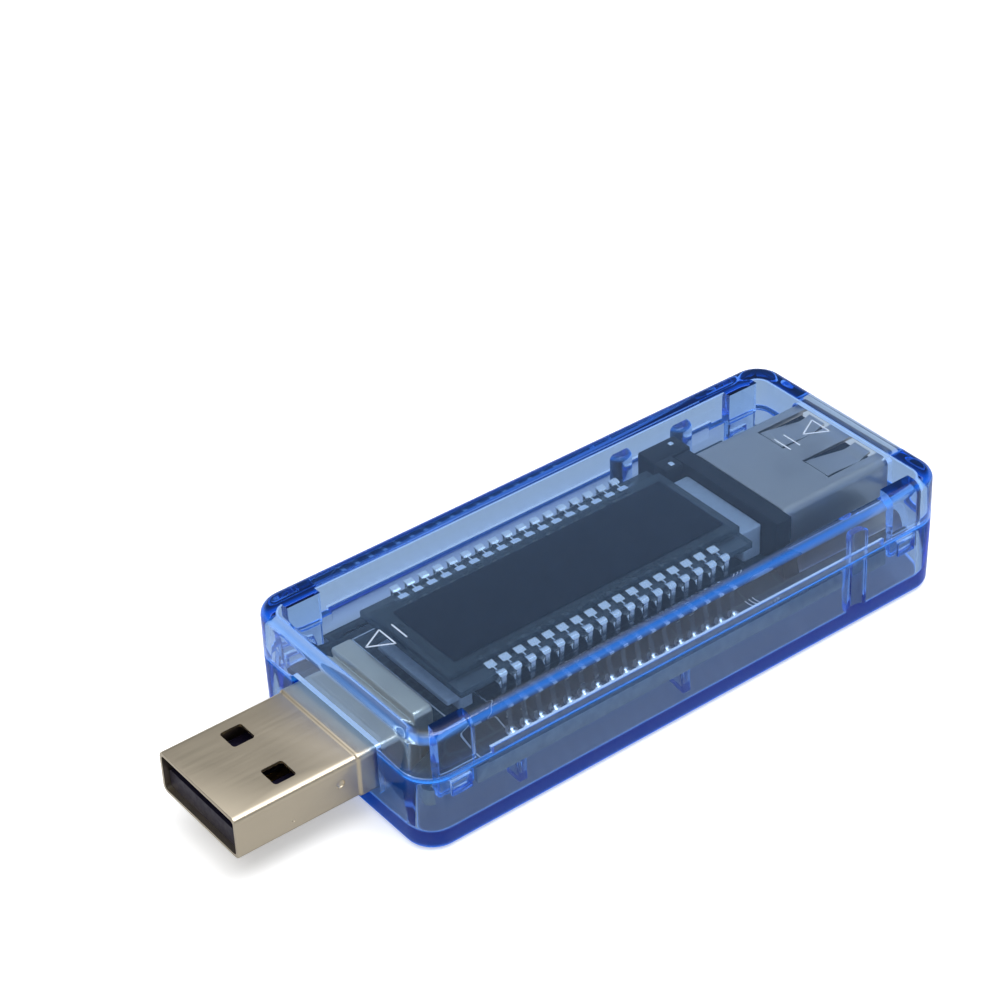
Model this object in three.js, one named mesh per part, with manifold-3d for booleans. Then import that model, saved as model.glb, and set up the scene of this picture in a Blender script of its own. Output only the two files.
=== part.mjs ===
// A USB power meter: a plug at one end, a socket at the other, and between them a circuit
// board with a liquid-crystal display, all in a clear casing of two snapped halves.
// Millimetres, +Z up. X runs from the plug (-X) to the socket (+X), the display faces +Z,
// and the origin is under the middle of the whole object, on the surface it lies on.
import * as THREE from "three";
import { mergeVertices } from "three/addons/utils/BufferGeometryUtils.js";
import Module from "manifold-3d";

const wasm = await Module();
wasm.setup();

// ---- driving dimensions. Lengths along X are counted from the casing's plug-end face ----
const CASE = { length: 62, width: 26.2, height: 13, seam: 7.8, wall: 1.4, corner: 3, edge: 1 };
const PLUG = { exposed: 14.3, width: 12, bottom: 3.6, height: 4.5, sheet: 0.3, corner: 0.6 };
const PLUG_ROOT = { start: -1.6, end: 4.2, halfWidth: 6.3, bottom: 3.3, top: 8.55 };
const PLUG_REAR = { end: 6.2, halfWidth: 6.35, bottom: 2.8, top: 9.15 };
const SOCKET = { start: 47.5, end: 61.7, width: 13.1, height: 5.72, sheet: 0.3, corner: 0.7 };
const SOCKET_BLOCK = { start: 45.7, halfWidth: 7.3, bottom: 4.1, top: 10.5 };
const TONGUE = { end: 60.7, halfWidth: 5.5, bottom: 7.85, top: 9.69 };
const BOARD = { start: 1.8, end: 60.2, halfWidth: 11.4, bottom: 4.45, top: 6.05 };
const DISPLAY = { start: 8.4, end: 42.4, halfWidth: 7.6, bottom: 9.55, glass: 0.7, film: 0.15 };
const WINDOW = { start: 10, end: 41.4, halfWidth: 4.6 };
const LIGHT = { start: 9.8, end: 45.6, halfWidth: 5.3, ledge: 8.5, ledgeTop: 7.75 };
const PINS = { count: 17, first: 12.6, last: 38.5, width: 0.95, tip: 6.2, spine: 8.2, thick: 0.3 };
const CLIP = { length: 3.6, centres: [4.5, 57.5], thick: 0.9, bottom: 5, clearance: 0.2 };
const POST = { radius: 1.25, top: 10.5, places: [[-1, 51.4], [1, 42.3], [1, 50]] };
const CONTACT_ROWS = [-3.5, -1, 1, 3.5];
const FINGER = { root: 54.5, length: 6.1, width: 3.3, tipWidth: 2.4, offset: 3.2, gap: 0.35, dip: 0.5 };
const SPRING = { root: 50.2, tip: 58.9, width: 1, thick: 0.25, bow: 0.55 };

const SOCKET_MIDDLE = CASE.seam;
const SOCKET_BOTTOM = SOCKET_MIDDLE - SOCKET.height / 2;
const SOCKET_TOP = SOCKET_MIDDLE + SOCKET.height / 2;
const INNER_SIDE = CASE.width / 2 - CASE.wall;
const PLUG_TOP = PLUG.bottom + PLUG.height;
const TONGUE_HEIGHT = 1.95;

// ---- solids ----
function toSolid(geometry) {
  const bare = geometry.clone();
  bare.deleteAttribute("normal");
  bare.deleteAttribute("uv");
  const merged = mergeVertices(bare, 1e-4);
  return new wasm.Manifold(new wasm.Mesh({
    numProp: 3,
    vertProperties: new Float32Array(merged.attributes.position.array),
    triVerts: Uint32Array.from(merged.index.array),
  }));
}

function toGeometry(solid) {
  const mesh = solid.getMesh();
  const geometry = new THREE.BufferGeometry();
  geometry.setAttribute("position", new THREE.BufferAttribute(mesh.vertProperties, 3));
  geometry.setIndex(new THREE.BufferAttribute(mesh.triVerts, 1));
  geometry.computeVertexNormals();
  return geometry;
}

function box(x0, x1, y0, y1, z0, z1) {
  const geometry = new THREE.BoxGeometry(x1 - x0, y1 - y0, z1 - z0);
  geometry.translate((x0 + x1) / 2, (y0 + y1) / 2, (z0 + z1) / 2);
  return toSolid(geometry);
}

// A rectangle with quarter-circle corners, as a closed outline.
function roundedOutline(x0, x1, y0, y1, radius) {
  const shape = new THREE.Shape();
  shape.absarc(x1 - radius, y0 + radius, radius, -Math.PI / 2, 0, false);
  shape.absarc(x1 - radius, y1 - radius, radius, 0, Math.PI / 2, false);
  shape.absarc(x0 + radius, y1 - radius, radius, Math.PI / 2, Math.PI, false);
  shape.absarc(x0 + radius, y0 + radius, radius, Math.PI, Math.PI * 1.5, false);
  return shape;
}

// An outline in X and Y pulled up from z0 to z1.
function alongZ(shape, z0, z1, curveSegments = 8) {
  const geometry = new THREE.ExtrudeGeometry(shape, {
    depth: z1 - z0, bevelEnabled: false, curveSegments,
  });
  geometry.translate(0, 0, z0);
  return toSolid(geometry);
}

// An outline in Y and Z pulled from x0 to x1.
function alongX(shape, x0, x1, curveSegments = 4) {
  const geometry = new THREE.ExtrudeGeometry(shape, {
    depth: x1 - x0, bevelEnabled: false, curveSegments,
  });
  geometry.applyMatrix4(new THREE.Matrix4().makeBasis(
    new THREE.Vector3(0, 1, 0), new THREE.Vector3(0, 0, 1), new THREE.Vector3(1, 0, 0)));
  geometry.translate(x0, 0, 0);
  return toSolid(geometry);
}

// An outline in X and Z pulled from y0 to y1.
function alongY(shape, y0, y1, curveSegments = 4) {
  const geometry = new THREE.ExtrudeGeometry(shape, {
    depth: y1 - y0, bevelEnabled: false, curveSegments,
  });
  geometry.applyMatrix4(new THREE.Matrix4().makeBasis(
    new THREE.Vector3(1, 0, 0), new THREE.Vector3(0, 0, 1), new THREE.Vector3(0, -1, 0)));
  geometry.translate(0, y1, 0);
  return toSolid(geometry);
}

// The outline of a bent strip of even thickness, from its middle line.
function stripOutline(points, thickness) {
  const half = thickness / 2;
  const sides = [[], []];
  points.forEach((point, i) => {
    const before = points[Math.max(i - 1, 0)];
    const after = points[Math.min(i + 1, points.length - 1)];
    const tangent = new THREE.Vector2(after[0] - before[0], after[1] - before[1]).normalize();
    sides[0].push(new THREE.Vector2(point[0] + tangent.y * half, point[1] - tangent.x * half));
    sides[1].push(new THREE.Vector2(point[0] - tangent.y * half, point[1] + tangent.x * half));
  });
  return new THREE.Shape([...sides[0], ...sides[1].reverse()]);
}

function union(solids) {
  return solids.reduce((whole, next) => whole.add(next));
}

function cut(solid, tools) {
  return tools.reduce((rest, tool) => rest.subtract(tool), solid);
}

// ---- the scene ----
const meter = new THREE.Group();
const onCase = new THREE.Group();
onCase.position.x = -(CASE.length - PLUG.exposed) / 2;
meter.add(onCase);

const FINISHES = {
  clearBlue: [0x5e93e0, 0.15, 0],
  boardMask: [0x1c2b2c, 0.5, 0],
  glass: [0xbfd4dc, 0.05, 0],
  film: [0x27364a, 0.25, 0],
  whitePlastic: [0xdfe6ee, 0.4, 0],
  nickel: [0xa9a08c, 0.3, 1],
  steel: [0x9a9ca3, 0.3, 1],
  tinned: [0xd9dcde, 0.3, 1],
  gold: [0xc9a24a, 0.3, 1],
  blackPlastic: [0x15171b, 0.5, 0],
  navyPlastic: [0x1b1a3c, 0.5, 0],
  ceramic: [0x8a6a4a, 0.5, 0],
  label: [0xe4e8ea, 0.6, 0],
};

function add(name, solid, finish) {
  const [color, roughness, metalness] = FINISHES[finish];
  const material = new THREE.MeshStandardMaterial({ color, roughness, metalness });
  if (finish === "clearBlue" || finish === "glass") {
    material.transparent = true;
    material.opacity = 0.4;
  }
  const mesh = new THREE.Mesh(toGeometry(solid), material);
  mesh.name = name;
  onCase.add(mesh);
}

// ---- casing ----
function casingOuter() {
  const half = CASE.width / 2;
  const geometry = new THREE.ExtrudeGeometry(
    roundedOutline(0, CASE.length, -half, half, CASE.corner),
    {
      depth: CASE.height - 2 * CASE.edge, curveSegments: 8, bevelSegments: 4,
      bevelSize: CASE.edge, bevelThickness: CASE.edge, bevelOffset: -CASE.edge,
    });
  geometry.translate(0, 0, CASE.edge);
  return toSolid(geometry);
}

function casingInner() {
  const w = CASE.wall;
  return alongZ(roundedOutline(w, CASE.length - w, -INNER_SIDE, INNER_SIDE, CASE.corner - w),
    w, CASE.height - w);
}

const FAR = 40;
const LIP = { start: 8, end: 54, height: 0.7, thick: 0.6 };
const PLUG_HOLE = { halfWidth: 6.5, bottom: 3.15, top: 8.75 };
const SOCKET_HOLE_GAP = 0.2;

function endHoles() {
  const margin = SOCKET_HOLE_GAP;
  const halfWidth = SOCKET.width / 2 + margin;
  return [
    box(-1, CASE.wall + 1, -PLUG_HOLE.halfWidth, PLUG_HOLE.halfWidth, PLUG_HOLE.bottom, PLUG_HOLE.top),
    alongX(roundedOutline(-halfWidth, halfWidth, SOCKET_BOTTOM - margin, SOCKET_TOP + margin,
      SOCKET.corner + margin), CASE.length - CASE.wall - 1, CASE.length + 1),
  ];
}

function onSide(side, inner, outer) {
  return side > 0 ? [inner, outer] : [-outer, -inner];
}

function frontCover() {
  let cover = casingOuter().intersect(box(-FAR, 2 * FAR, -FAR, FAR, CASE.seam, FAR));
  cover = cut(cover, [casingInner(), ...endHoles()]);
  const tongueOuter = INNER_SIDE - CLIP.clearance;
  for (const side of [-1, 1]) {
    const rebate = onSide(side, INNER_SIDE - 0.1, INNER_SIDE + LIP.thick + CLIP.clearance / 2);
    cover = cover.subtract(box(LIP.start - 0.3, LIP.end + 0.3, ...rebate,
      CASE.seam - 1, CASE.seam + LIP.height + 0.1));
    for (const centre of CLIP.centres) {
      const x0 = centre - CLIP.length / 2;
      const x1 = centre + CLIP.length / 2;
      const tongue = box(x0, x1, ...onSide(side, tongueOuter - CLIP.thick, tongueOuter),
        CLIP.bottom, CASE.seam + 1);
      const root = box(x0, x1, ...onSide(side, tongueOuter - CLIP.thick, INNER_SIDE + 0.2),
        CASE.seam + 0.3, CASE.height - CASE.wall + 0.1);
      const nub = box(centre - 0.85, centre + 0.85, ...onSide(side, tongueOuter - 0.1, tongueOuter + 0.55),
        CLIP.bottom + 0.5, CLIP.bottom + 1.4);
      cover = union([cover, tongue, root, nub]);
    }
  }
  return cover;
}

function backCover() {
  let cover = casingOuter().intersect(box(-FAR, 2 * FAR, -FAR, FAR, -1, CASE.seam));
  cover = cut(cover, [casingInner(), ...endHoles()]);
  for (const side of [-1, 1]) {
    const lip = box(LIP.start, LIP.end, ...onSide(side, INNER_SIDE, INNER_SIDE + LIP.thick),
      CASE.seam - 1, CASE.seam + LIP.height);
    cover = cover.add(lip);
    for (const centre of CLIP.centres) {
      cover = cover.subtract(box(centre - 1.1, centre + 1.1,
        ...onSide(side, INNER_SIDE - 0.1, INNER_SIDE + 0.6), CLIP.bottom + 0.2, CLIP.bottom + 1.7));
    }
  }
  for (const [side, x] of POST.places) {
    const round = new THREE.Shape();
    round.absarc(x, side * INNER_SIDE, POST.radius, 0, Math.PI * 2, false);
    const inside = box(-FAR, 2 * FAR, ...onSide(side, 0, INNER_SIDE + 0.2), 0, CASE.seam - 0.5);
    const above = box(-FAR, 2 * FAR, ...onSide(side, 0, INNER_SIDE - 0.1), 0, FAR);
    cover = cover.add(alongZ(round, CASE.wall - 0.1, POST.top, 10).intersect(inside.add(above)));
  }
  for (const x of [12, 31]) {
    for (const side of [-1, 1]) {
      const y = side * 10;
      cover = cover.add(box(x - 0.5, x + 0.5, y - 0.8, y + 0.8, CASE.wall - 0.1, BOARD.bottom));
    }
  }
  return cover;
}

add("front_cover", frontCover(), "clearBlue");
add("back_cover", backCover(), "clearBlue");

// ---- circuit board ----
function pinPlaces() {
  const pitch = (PINS.last - PINS.first) / (PINS.count - 1);
  return Array.from({ length: PINS.count }, (_, i) => PINS.first + i * pitch);
}

function circuitBoard() {
  const { start, end, halfWidth, bottom, top } = BOARD;
  const tools = [
    box(start - 1, PLUG_REAR.end + 0.2, -PLUG_REAR.halfWidth - 0.3, PLUG_REAR.halfWidth + 0.3, 0, 9),
    box(SOCKET_BLOCK.start - 0.2, end + 1, -SOCKET_BLOCK.halfWidth - 0.2,
      SOCKET_BLOCK.halfWidth + 0.2, 0, 9),
  ];
  for (const side of [-1, 1]) {
    for (const centre of CLIP.centres) {
      const reach = CLIP.length / 2 + 0.3;
      tools.push(box(centre - reach, centre + reach,
        ...onSide(side, INNER_SIDE - CLIP.clearance - CLIP.thick - 0.3, halfWidth + 1), 0, 9));
    }
    const hole = PINS.width / 2 + 0.15;
    for (const x of pinPlaces()) {
      tools.push(box(x - hole, x + hole,
        ...onSide(side, PINS.spine - PINS.thick / 2 - 0.15, PINS.spine + PINS.thick / 2 + 0.15), 0, 9));
    }
  }
  const reach = POST.radius + 0.35;
  for (const [side, x] of POST.places) {
    tools.push(box(x - reach, x + reach,
      ...onSide(side, INNER_SIDE - POST.radius - 0.3, halfWidth + 1), 0, 9));
  }
  return alongZ(roundedOutline(start, end, -halfWidth, halfWidth, 0.8), bottom, top, 4)
    .subtract(union(tools));
}

add("circuit_board", circuitBoard(), "boardMask");

// ---- display ----
function display() {
  const { start, end, halfWidth, bottom, glass, film } = DISPLAY;
  const middle = bottom + glass;
  const top = middle + glass;
  const upperHalf = PINS.tip - 0.4;
  const win = WINDOW;
  add("lcd_rear_glass", box(start, end, -halfWidth, halfWidth, bottom, middle), "glass");
  add("lcd_front_glass", box(start, end, -upperHalf, upperHalf, middle, top), "glass");
  add("lcd_rear_polariser",
    box(win.start, win.end, -win.halfWidth, win.halfWidth, bottom - film, bottom), "film");
  add("lcd_front_polariser",
    box(win.start, win.end, -win.halfWidth, win.halfWidth, top, top + film), "film");
  const lightTop = bottom - film;
  const legs = [
    box(LIGHT.ledge, LIGHT.start + 0.3, -LIGHT.halfWidth, LIGHT.halfWidth, lightTop - 2.2, LIGHT.ledgeTop),
    box(LIGHT.start, LIGHT.start + 1.6, -LIGHT.halfWidth, LIGHT.halfWidth, BOARD.top, lightTop - 2),
    box(LIGHT.end - 2.2, LIGHT.end, -LIGHT.halfWidth, LIGHT.halfWidth, BOARD.top, lightTop - 2),
  ];
  const panel = box(LIGHT.start, LIGHT.end, -LIGHT.halfWidth, LIGHT.halfWidth, lightTop - 2.2, lightTop);
  const ledPocket = box(LIGHT.end - 4.4, LIGHT.end - 2.2, -1.3, 1.3, BOARD.top - 1, lightTop - 0.9);
  add("backlight_panel", cut(union([panel, ...legs]), [ledPocket]), "whitePlastic");
  add("backlight_led", box(LIGHT.end - 4, LIGHT.end - 2.6, -1, 1, BOARD.top, lightTop - 1.1), "label");
}

display();

// One row of pins: each grips the edge of the rear glass between two jaws and runs down
// through the board. A thin bar joins them, so that the row is one solid.
function pinRow(side) {
  const { thick, width, tip, spine } = PINS;
  const edge = DISPLAY.halfWidth;
  const under = DISPLAY.bottom;
  const over = DISPLAY.bottom + DISPLAY.glass;
  const inner = spine - thick / 2;
  const outer = spine + thick / 2;
  const solids = [];
  for (const x of pinPlaces()) {
    const x0 = x - width / 2;
    const x1 = x + width / 2;
    solids.push(
      box(x0, x1, ...onSide(side, tip, outer), over, over + thick),
      box(x0, x1, ...onSide(side, edge - 0.9, outer), under - thick, under),
      box(x0, x1, ...onSide(side, inner, outer), BOARD.bottom - 1.2, over + thick));
  }
  solids.push(box(PINS.first, PINS.last, ...onSide(side, inner, outer), BOARD.top + 0.4, BOARD.top + 0.8));
  return union(solids);
}

add("lcd_pin_row_near", pinRow(-1), "tinned");
add("lcd_pin_row_far", pinRow(1), "tinned");

// ---- plug ----
function plugShell() {
  const { width, bottom, height, sheet, corner, exposed } = PLUG;
  const half = width / 2;
  const root = PLUG_ROOT;
  const rear = PLUG_REAR;
  const nose = roundedOutline(-half, half, bottom, bottom + height, corner);
  const rootOutline = roundedOutline(-root.halfWidth, root.halfWidth, root.bottom, root.top, corner);
  const rearOutline = roundedOutline(-rear.halfWidth, rear.halfWidth, rear.bottom, rear.top, corner);
  const outer = union([
    alongX(nose, -exposed, root.start + 0.4),
    alongX(rootOutline, root.start, root.end),
    alongX(rearOutline, root.end, rear.end),
  ]);
  const inset = corner - sheet;
  const inner = [
    alongX(roundedOutline(-half + sheet, half - sheet, bottom + sheet, bottom + height - sheet, inset),
      -exposed - 1, root.end + sheet + 0.1),
    alongX(roundedOutline(-rear.halfWidth + sheet, rear.halfWidth - sheet, rear.bottom + sheet,
      rear.top - sheet, inset), root.end + sheet, rear.end + 1),
  ];
  const windows = [];
  for (const side of [-1, 1]) {
    windows.push(box(-9.2, -6.8, side * 3.3 - 1.2, side * 3.3 + 1.2, 0, 2 * PLUG_TOP));
  }
  return cut(outer, [...inner, ...windows]);
}

function plugInsulator() {
  const floor = PLUG.bottom + PLUG.sheet;
  const half = PLUG.width / 2 - PLUG.sheet - 0.05;
  const lip = 0.35;
  const section = (h, z0, z1) => roundedOutline(-h, h, z0, z1, lip);
  const tongue = alongX(section(half, floor, floor + TONGUE_HEIGHT), -PLUG.exposed + 0.6, -4);
  const block = alongX(section(half, floor, PLUG_TOP - PLUG.sheet - 0.05), -4.2, PLUG_ROOT.end + 0.6);
  const rear = alongX(section(PLUG_REAR.halfWidth - 0.4, PLUG_REAR.bottom + lip, PLUG_REAR.top - lip),
    PLUG_ROOT.end + 0.4, PLUG_REAR.end - 0.4);
  const grooves = CONTACT_ROWS.map((y) => box(-PLUG.exposed + 1, 12, y - 0.6, y + 0.6,
    floor + 1.55, floor + TONGUE_HEIGHT + 0.02));
  const downs = CONTACT_ROWS.map((y) => box(PLUG_REAR.end - 1.2, PLUG_REAR.end, y - 0.6, y + 0.6, 0,
    floor + TONGUE_HEIGHT));
  return cut(union([tongue, block, rear]), [...grooves, ...downs]);
}

function plugContact(y) {
  const level = PLUG.bottom + PLUG.sheet + 1.75;
  const foot = BOARD.bottom - 0.15;
  const start = Math.abs(y) > 2 ? -PLUG.exposed + 1.3 : -PLUG.exposed + 2.3;
  const turn = PLUG_REAR.end - 0.7;
  const line = [[start, level], [turn - 0.3, level], [turn, level - 0.3], [turn, foot + 0.3],
    [turn + 0.3, foot], [turn + 2.6, foot]];
  return alongY(stripOutline(line, 0.28), y - 0.5, y + 0.5);
}

add("plug_shell", plugShell(), "nickel");
add("plug_insulator", plugInsulator(), "navyPlastic");
CONTACT_ROWS.forEach((y, i) => add(`plug_contact_${i + 1}`, plugContact(y), "gold"));

// ---- socket ----
function fingerOutline(margin) {
  const { root, length, width, tipWidth } = FINGER;
  const shape = new THREE.Shape();
  shape.moveTo(root - margin, -width / 2 - margin);
  shape.lineTo(root + length + margin, -tipWidth / 2 - margin);
  shape.lineTo(root + length + margin, tipWidth / 2 + margin);
  shape.lineTo(root - margin, width / 2 + margin);
  return shape;
}

function socketShell() {
  const { start, end, width, sheet, corner } = SOCKET;
  const half = width / 2;
  const outer = alongX(roundedOutline(-half, half, SOCKET_BOTTOM, SOCKET_TOP, corner), start, end);
  const inner = alongX(roundedOutline(-half + sheet, half - sheet, SOCKET_BOTTOM + sheet,
    SOCKET_TOP - sheet, corner - sheet), start - 1, end + 1);
  const slots = [-1, 1].map((side) => {
    const slot = alongZ(fingerOutline(FINGER.gap), 0, CASE.height);
    return slot.translate([0, side * FINGER.offset, 0]);
  });
  return cut(outer, [inner, ...slots]);
}

// A finger lies in its slot at the root, dips into the socket and turns out again at its tip.
function socketFinger(side, up) {
  const { root, length, dip, offset } = FINGER;
  const surface = up > 0 ? SOCKET_TOP - SOCKET.sheet / 2 : SOCKET_BOTTOM + SOCKET.sheet / 2;
  const low = surface - up * dip;
  const line = [[root, surface], [root + 1.2, surface], [root + length - 2.2, low],
    [root + length - 1.4, low], [root + length, surface - up * 0.1]];
  const strip = alongY(stripOutline(line, SOCKET.sheet), -FINGER.width, FINGER.width);
  const plan = alongZ(fingerOutline(0), 0, CASE.height);
  return strip.intersect(plan).translate([0, side * offset, 0]);
}

function socketInsulator() {
  const { start, halfWidth, bottom, top } = SOCKET_BLOCK;
  const wall = box(start, SOCKET.start, -halfWidth, halfWidth, bottom, top);
  const plug = box(SOCKET.start - 0.1, SOCKET.start + 1.8, -6.1, 6.1, SOCKET_BOTTOM + 0.4, SOCKET_TOP - 0.4);
  const tongue = box(SOCKET.start, TONGUE.end, -TONGUE.halfWidth, TONGUE.halfWidth,
    TONGUE.bottom, TONGUE.top);
  const tools = [];
  for (const y of CONTACT_ROWS) {
    tools.push(
      box(SOCKET.start - 0.2, TONGUE.end - 0.5, y - 0.7, y + 0.7, TONGUE.bottom - 0.2,
        TONGUE.bottom + 1.15),
      box(start + 0.5, TONGUE.end - 4, y - 0.7, y + 0.7, TONGUE.bottom - 0.5, TONGUE.bottom + 0.6),
      box(start + 0.5, start + 1.3, y - 0.7, y + 0.7, 0, TONGUE.bottom + 0.6),
      box(start - 1, start + 1.3, y - 0.7, y + 0.7, 0, BOARD.bottom + 0.2));
  }
  return cut(union([wall, plug, tongue]), tools);
}

function socketTail(y) {
  const level = TONGUE.bottom + 0.1;
  const drop = SOCKET_BLOCK.start + 0.9;
  const foot = BOARD.bottom - 0.15;
  const line = [[SPRING.root - 0.35, level], [drop + 0.3, level], [drop, level - 0.3],
    [drop, foot + 0.3], [drop - 0.3, foot], [drop - 3, foot]];
  return alongY(stripOutline(line, SPRING.thick), y - SPRING.width / 2, y + SPRING.width / 2);
}

// The free part of a contact bows down towards the plug and tucks its tip into the tongue.
function socketSpring(y) {
  const { root, tip, width, thick, bow } = SPRING;
  const level = TONGUE.bottom + 0.1;
  const run = tip - root;
  const line = [[root, level], [root + 0.5, level], [root + run * 0.62, level - bow],
    [root + run * 0.74, level - bow], [root + run * 0.93, level + 0.05], [tip, level + 0.15]];
  return alongY(stripOutline(line, thick), y - width / 2, y + width / 2);
}

add("socket_shell", socketShell(), "steel");
add("socket_insulator", socketInsulator(), "blackPlastic");
for (const [up, level] of [[1, "top"], [-1, "bottom"]]) {
  for (const [side, place] of [[-1, "near"], [1, "far"]]) {
    add(`socket_finger_${level}_${place}`, socketFinger(side, up), "steel");
  }
}
CONTACT_ROWS.forEach((y, i) => {
  add(`socket_tail_${i + 1}`, socketTail(y), "gold");
  add(`socket_spring_${i + 1}`, socketSpring(y), "gold");
});

// ---- parts soldered to the board ----
// A flat package with leads on two or four sides, body and leads as one solid.
function leadedPackage(x, y, size, leads, under) {
  const [lx, ly, thick] = size;
  const surface = under ? BOARD.bottom : BOARD.top;
  const level = (a, b) => (under ? [surface - b, surface - a] : [surface + a, surface + b]);
  const solids = [box(x - lx / 2, x + lx / 2, y - ly / 2, y + ly / 2, ...level(0.1, thick))];
  for (const { sides, count, pitch } of leads) {
    for (let i = 0; i < count; i++) {
      const at = (i - (count - 1) / 2) * pitch;
      for (const s of [-1, 1]) {
        const across = sides === "y";
        const centre = across ? [x + at, y + s * (ly / 2 + 0.45)] : [x + s * (lx / 2 + 0.45), y + at];
        const reach = across ? [pitch * 0.22, 0.55] : [0.55, pitch * 0.22];
        solids.push(box(centre[0] - reach[0], centre[0] + reach[0],
          centre[1] - reach[1], centre[1] + reach[1], ...level(0, 0.35)));
      }
    }
  }
  return union(solids);
}

// A two-ended chip with a metal cap at each end.
function chip(x, y, lx, ly, thick, under) {
  const surface = under ? BOARD.bottom : BOARD.top;
  return under
    ? box(x - lx / 2, x + lx / 2, y - ly / 2, y + ly / 2, surface - thick, surface)
    : box(x - lx / 2, x + lx / 2, y - ly / 2, y + ly / 2, surface, surface + thick);
}

add("microcontroller", leadedPackage(38.5, -1.5, [7, 7, 1.5],
  [{ sides: "x", count: 12, pitch: 0.5 }, { sides: "y", count: 12, pitch: 0.5 }], true), "blackPlastic");
add("amplifier_chip", leadedPackage(27, -3.4, [4.9, 3.9, 1.5],
  [{ sides: "y", count: 4, pitch: 1.27 }], true), "blackPlastic");
add("memory_chip", leadedPackage(27, 3.6, [4.9, 3.9, 1.5],
  [{ sides: "y", count: 4, pitch: 1.27 }], true), "blackPlastic");
add("voltage_regulator", leadedPackage(18, -2.6, [2.9, 1.6, 1.1],
  [{ sides: "y", count: 2, pitch: 1.9 }], true), "blackPlastic");
add("shunt_resistor", chip(15.5, 4, 3.2, 6.4, 0.7, true), "blackPlastic");
add("crystal", chip(34.8, 6, 5, 3.2, 1, true), "steel");
add("capacitor_1", chip(40.5, -9.4, 2, 1.25, 1.1, true), "ceramic");
add("capacitor_2", chip(20.6, 2.2, 1.25, 2, 0.9, true), "ceramic");
add("capacitor_3", chip(33, 1.8, 2, 1.25, 0.9, true), "ceramic");
add("resistor_1", chip(22, -5.4, 2, 1.25, 0.5, true), "blackPlastic");
add("resistor_2", chip(22, -2.6, 2, 1.25, 0.5, true), "blackPlastic");
add("resistor_3", chip(32.4, -5.6, 1.25, 2, 0.5, true), "blackPlastic");
add("corner_block", box(43.4, 48, 7.6, 10.2, BOARD.top, 10.5)
  .add(box(43.4, 45.6, 5.9, 7.7, BOARD.top, 10.5)), "blackPlastic");

export default meter;
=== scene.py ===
"""A USB power meter: a clear blue snap casing round a circuit board with a display.

Lengths inside the script are millimetres. X is counted from the casing's plug-end face,
Y from the middle and Z from the surface that the back cover lies on.
"""

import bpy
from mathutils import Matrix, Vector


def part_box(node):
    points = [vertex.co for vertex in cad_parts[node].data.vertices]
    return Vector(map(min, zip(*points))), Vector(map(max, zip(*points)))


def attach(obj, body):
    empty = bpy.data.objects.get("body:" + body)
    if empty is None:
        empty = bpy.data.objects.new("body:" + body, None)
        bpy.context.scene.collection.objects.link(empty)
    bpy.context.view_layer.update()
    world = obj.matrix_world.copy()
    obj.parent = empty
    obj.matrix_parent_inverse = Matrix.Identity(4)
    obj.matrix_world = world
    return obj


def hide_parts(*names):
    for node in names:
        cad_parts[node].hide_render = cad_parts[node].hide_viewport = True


bl_info = {
    "name": "USB power meter",
    "version": (1, 0, 0),
    "blender": (4, 5, 0),
    "location": "View3D > Sidebar > Power meter",
    "description": "Builds a USB power meter in a clear casing, piece by piece",
    "category": "Object",
}

import math

import bmesh
import bpy
import numpy as np
from mathutils import Matrix, Vector

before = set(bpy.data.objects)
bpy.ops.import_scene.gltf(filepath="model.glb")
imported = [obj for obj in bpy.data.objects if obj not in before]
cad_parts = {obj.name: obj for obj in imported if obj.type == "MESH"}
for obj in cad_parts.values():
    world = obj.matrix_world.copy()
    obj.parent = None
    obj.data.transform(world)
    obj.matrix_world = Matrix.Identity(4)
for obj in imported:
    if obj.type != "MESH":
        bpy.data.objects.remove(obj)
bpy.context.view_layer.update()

MM = 0.001
ROOT = "meter"
CASE_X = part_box("front_cover")[0][0] / MM


def node_box(node):
    """Lowest and highest corner of a CAD node in millimetres, X from the casing's end face."""
    low, high = (np.array(corner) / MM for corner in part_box(node))
    low[0] -= CASE_X
    high[0] -= CASE_X
    return low, high


CASE_LENGTH = node_box("front_cover")[1][0]
CASE_HALF_WIDTH = node_box("front_cover")[1][1]
CASE_HEIGHT = node_box("front_cover")[1][2]
SEAM = 7.8
CONTACT_ROWS = (-3.5, -1.0, 1.0, 3.5)
SIDES = {"near": -1, "far": 1}


# ---- sizes and colours that a user would change ----
def length(name, description, default):
    """A length property, given in millimetres."""
    return bpy.props.FloatProperty(
        name=name, description=description, default=default * MM, unit="LENGTH", precision=5)


def colour(name, description, default):
    """A colour property."""
    return bpy.props.FloatVectorProperty(
        name=name, description=description, default=default, size=3, subtype="COLOR", min=0, max=1)


class MeterCasing(bpy.types.PropertyGroup):
    wall: length("Wall", "Thickness of the casing's walls", 1.4)
    corner: length("Corner radius", "Radius of the four upright corners", 3.0)
    edge: length("Edge radius", "Radius of the rounded outer edges", 0.9)
    frost: bpy.props.FloatProperty(
        name="Frost", description="Roughness of the textured back face", default=0.22, min=0, max=1)
    tint: colour("Tint", "What the plastic lets through, red, green and blue", (0.0, 0.42, 0.86))
    density: bpy.props.FloatProperty(
        name="Tint density", description="How fast the plastic darkens, per metre", default=290.0)
    # Painted glow: the colour of the emission that the plastic gives off at its edges, standing in for
    # light scattered inside it.
    painted_glow: colour("Edge glow", "Light that the plastic gathers and gives off at edges", (0.02, 0.24, 0.88))


class MeterMetal(bpy.types.PropertyGroup):
    nickel: colour("Plug", "Satin nickel of the plug's shell", (0.66, 0.585, 0.46))
    steel: colour("Socket", "Rolled steel of the socket's shell", (0.50, 0.45, 0.40))
    tin: colour("Pins", "Tinned pins and solder", (0.86, 0.87, 0.88))
    gold: colour("Contacts", "Gold-flashed contacts", (0.82, 0.62, 0.28))
    sheet: length("Sheet", "Thickness of the two shells", 0.3)


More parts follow.
